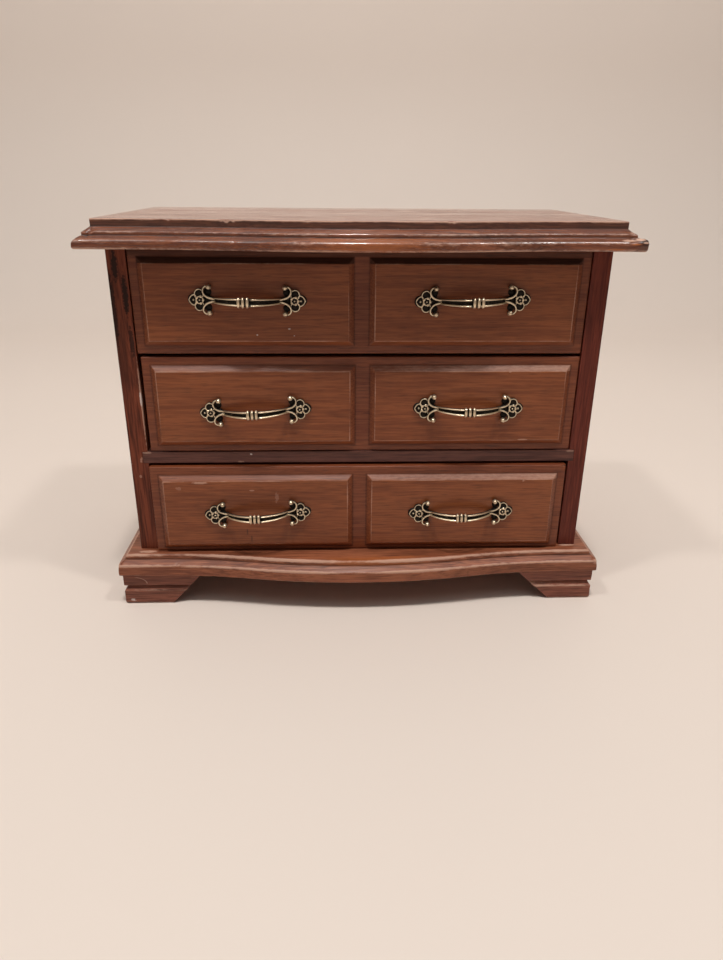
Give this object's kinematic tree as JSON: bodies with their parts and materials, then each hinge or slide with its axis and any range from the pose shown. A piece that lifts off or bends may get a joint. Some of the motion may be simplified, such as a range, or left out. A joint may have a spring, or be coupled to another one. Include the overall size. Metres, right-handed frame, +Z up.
{
  "type": "jewelry chest",
  "caption": "Small free-standing wooden jewelry chest with a bowed moulded top and base, bracket feet, and sliding raised-panel drawers with cast brass pulls.",
  "frame": {"origin": "bottom centre of the whole chest, on the surface that it stands on", "axes": "+X to the right seen from the front, +Y towards the back, +Z up; the drawers open along -Y"},
  "size_m": [0.3166, 0.177, 0.24],
  "materials": {
    "stained_wood": "reddish-brown stain under worn semi-gloss lacquer",
    "drawer_wood": "plain unstained softwood and plywood",
    "back_hardboard": "bare brown hardboard",
    "antique_brass": "antiqued, dark in the hollows and rubbed bright on the ridges",
    "fastener_steel": "zinc plated",
    "felt_lining": "short-pile felt"
  },
  "bodies": {
    "case": {"top_board": "stained_wood", "base_board": "stained_wood", "left_side": "stained_wood", "right_side": "stained_wood", "back_panel": "back_hardboard", "lower_shelf": "stained_wood", "upper_shelf": "drawer_wood", "front_left_foot_front": "stained_wood", "front_left_foot_side": "stained_wood", "rear_left_foot_side": "stained_wood", "rear_left_foot_back": "stained_wood", "front_right_foot_front": "stained_wood", "front_right_foot_side": "stained_wood", "rear_right_foot_side": "stained_wood", "rear_right_foot_back": "stained_wood", "foot_blocks": "drawer_wood", "top_dowels": "drawer_wood", "base_screws": "fastener_steel", "back_nails": "fastener_steel"},
    "upper_drawer": {"upper_drawer_front": "stained_wood", "upper_drawer_left_side": "drawer_wood", "upper_drawer_right_side": "drawer_wood", "upper_drawer_back": "drawer_wood", "upper_drawer_bottom": "drawer_wood", "upper_drawer_lining": "felt_lining", "upper_left_pull": "antique_brass", "upper_right_pull": "antique_brass", "upper_pull_screws": "fastener_steel"},
    "middle_drawer": {"middle_drawer_front": "stained_wood", "middle_drawer_left_side": "drawer_wood", "middle_drawer_right_side": "drawer_wood", "middle_drawer_back": "drawer_wood", "middle_drawer_bottom": "drawer_wood", "middle_drawer_lining": "felt_lining", "middle_left_pull": "antique_brass", "middle_right_pull": "antique_brass", "middle_pull_screws": "fastener_steel"},
    "lower_drawer": {"lower_drawer_front": "stained_wood", "lower_drawer_left_side": "drawer_wood", "lower_drawer_right_side": "drawer_wood", "lower_drawer_back": "drawer_wood", "lower_drawer_bottom": "drawer_wood", "lower_drawer_lining": "felt_lining", "lower_left_pull": "antique_brass", "lower_right_pull": "antique_brass", "lower_pull_screws": "fastener_steel"}
  },
  "joints": [
    {"name": "upper_drawer_slide", "type": "slide", "parent": "case", "child": "upper_drawer", "axis": [0, -1, 0], "range_m": [0, 0.105]},
    {"name": "middle_drawer_slide", "type": "slide", "parent": "case", "child": "middle_drawer", "axis": [0, -1, 0], "range_m": [0, 0.105]},
    {"name": "lower_drawer_slide", "type": "slide", "parent": "case", "child": "lower_drawer", "axis": [0, -1, 0], "range_m": [-0.004, 0.101]}
  ]
}
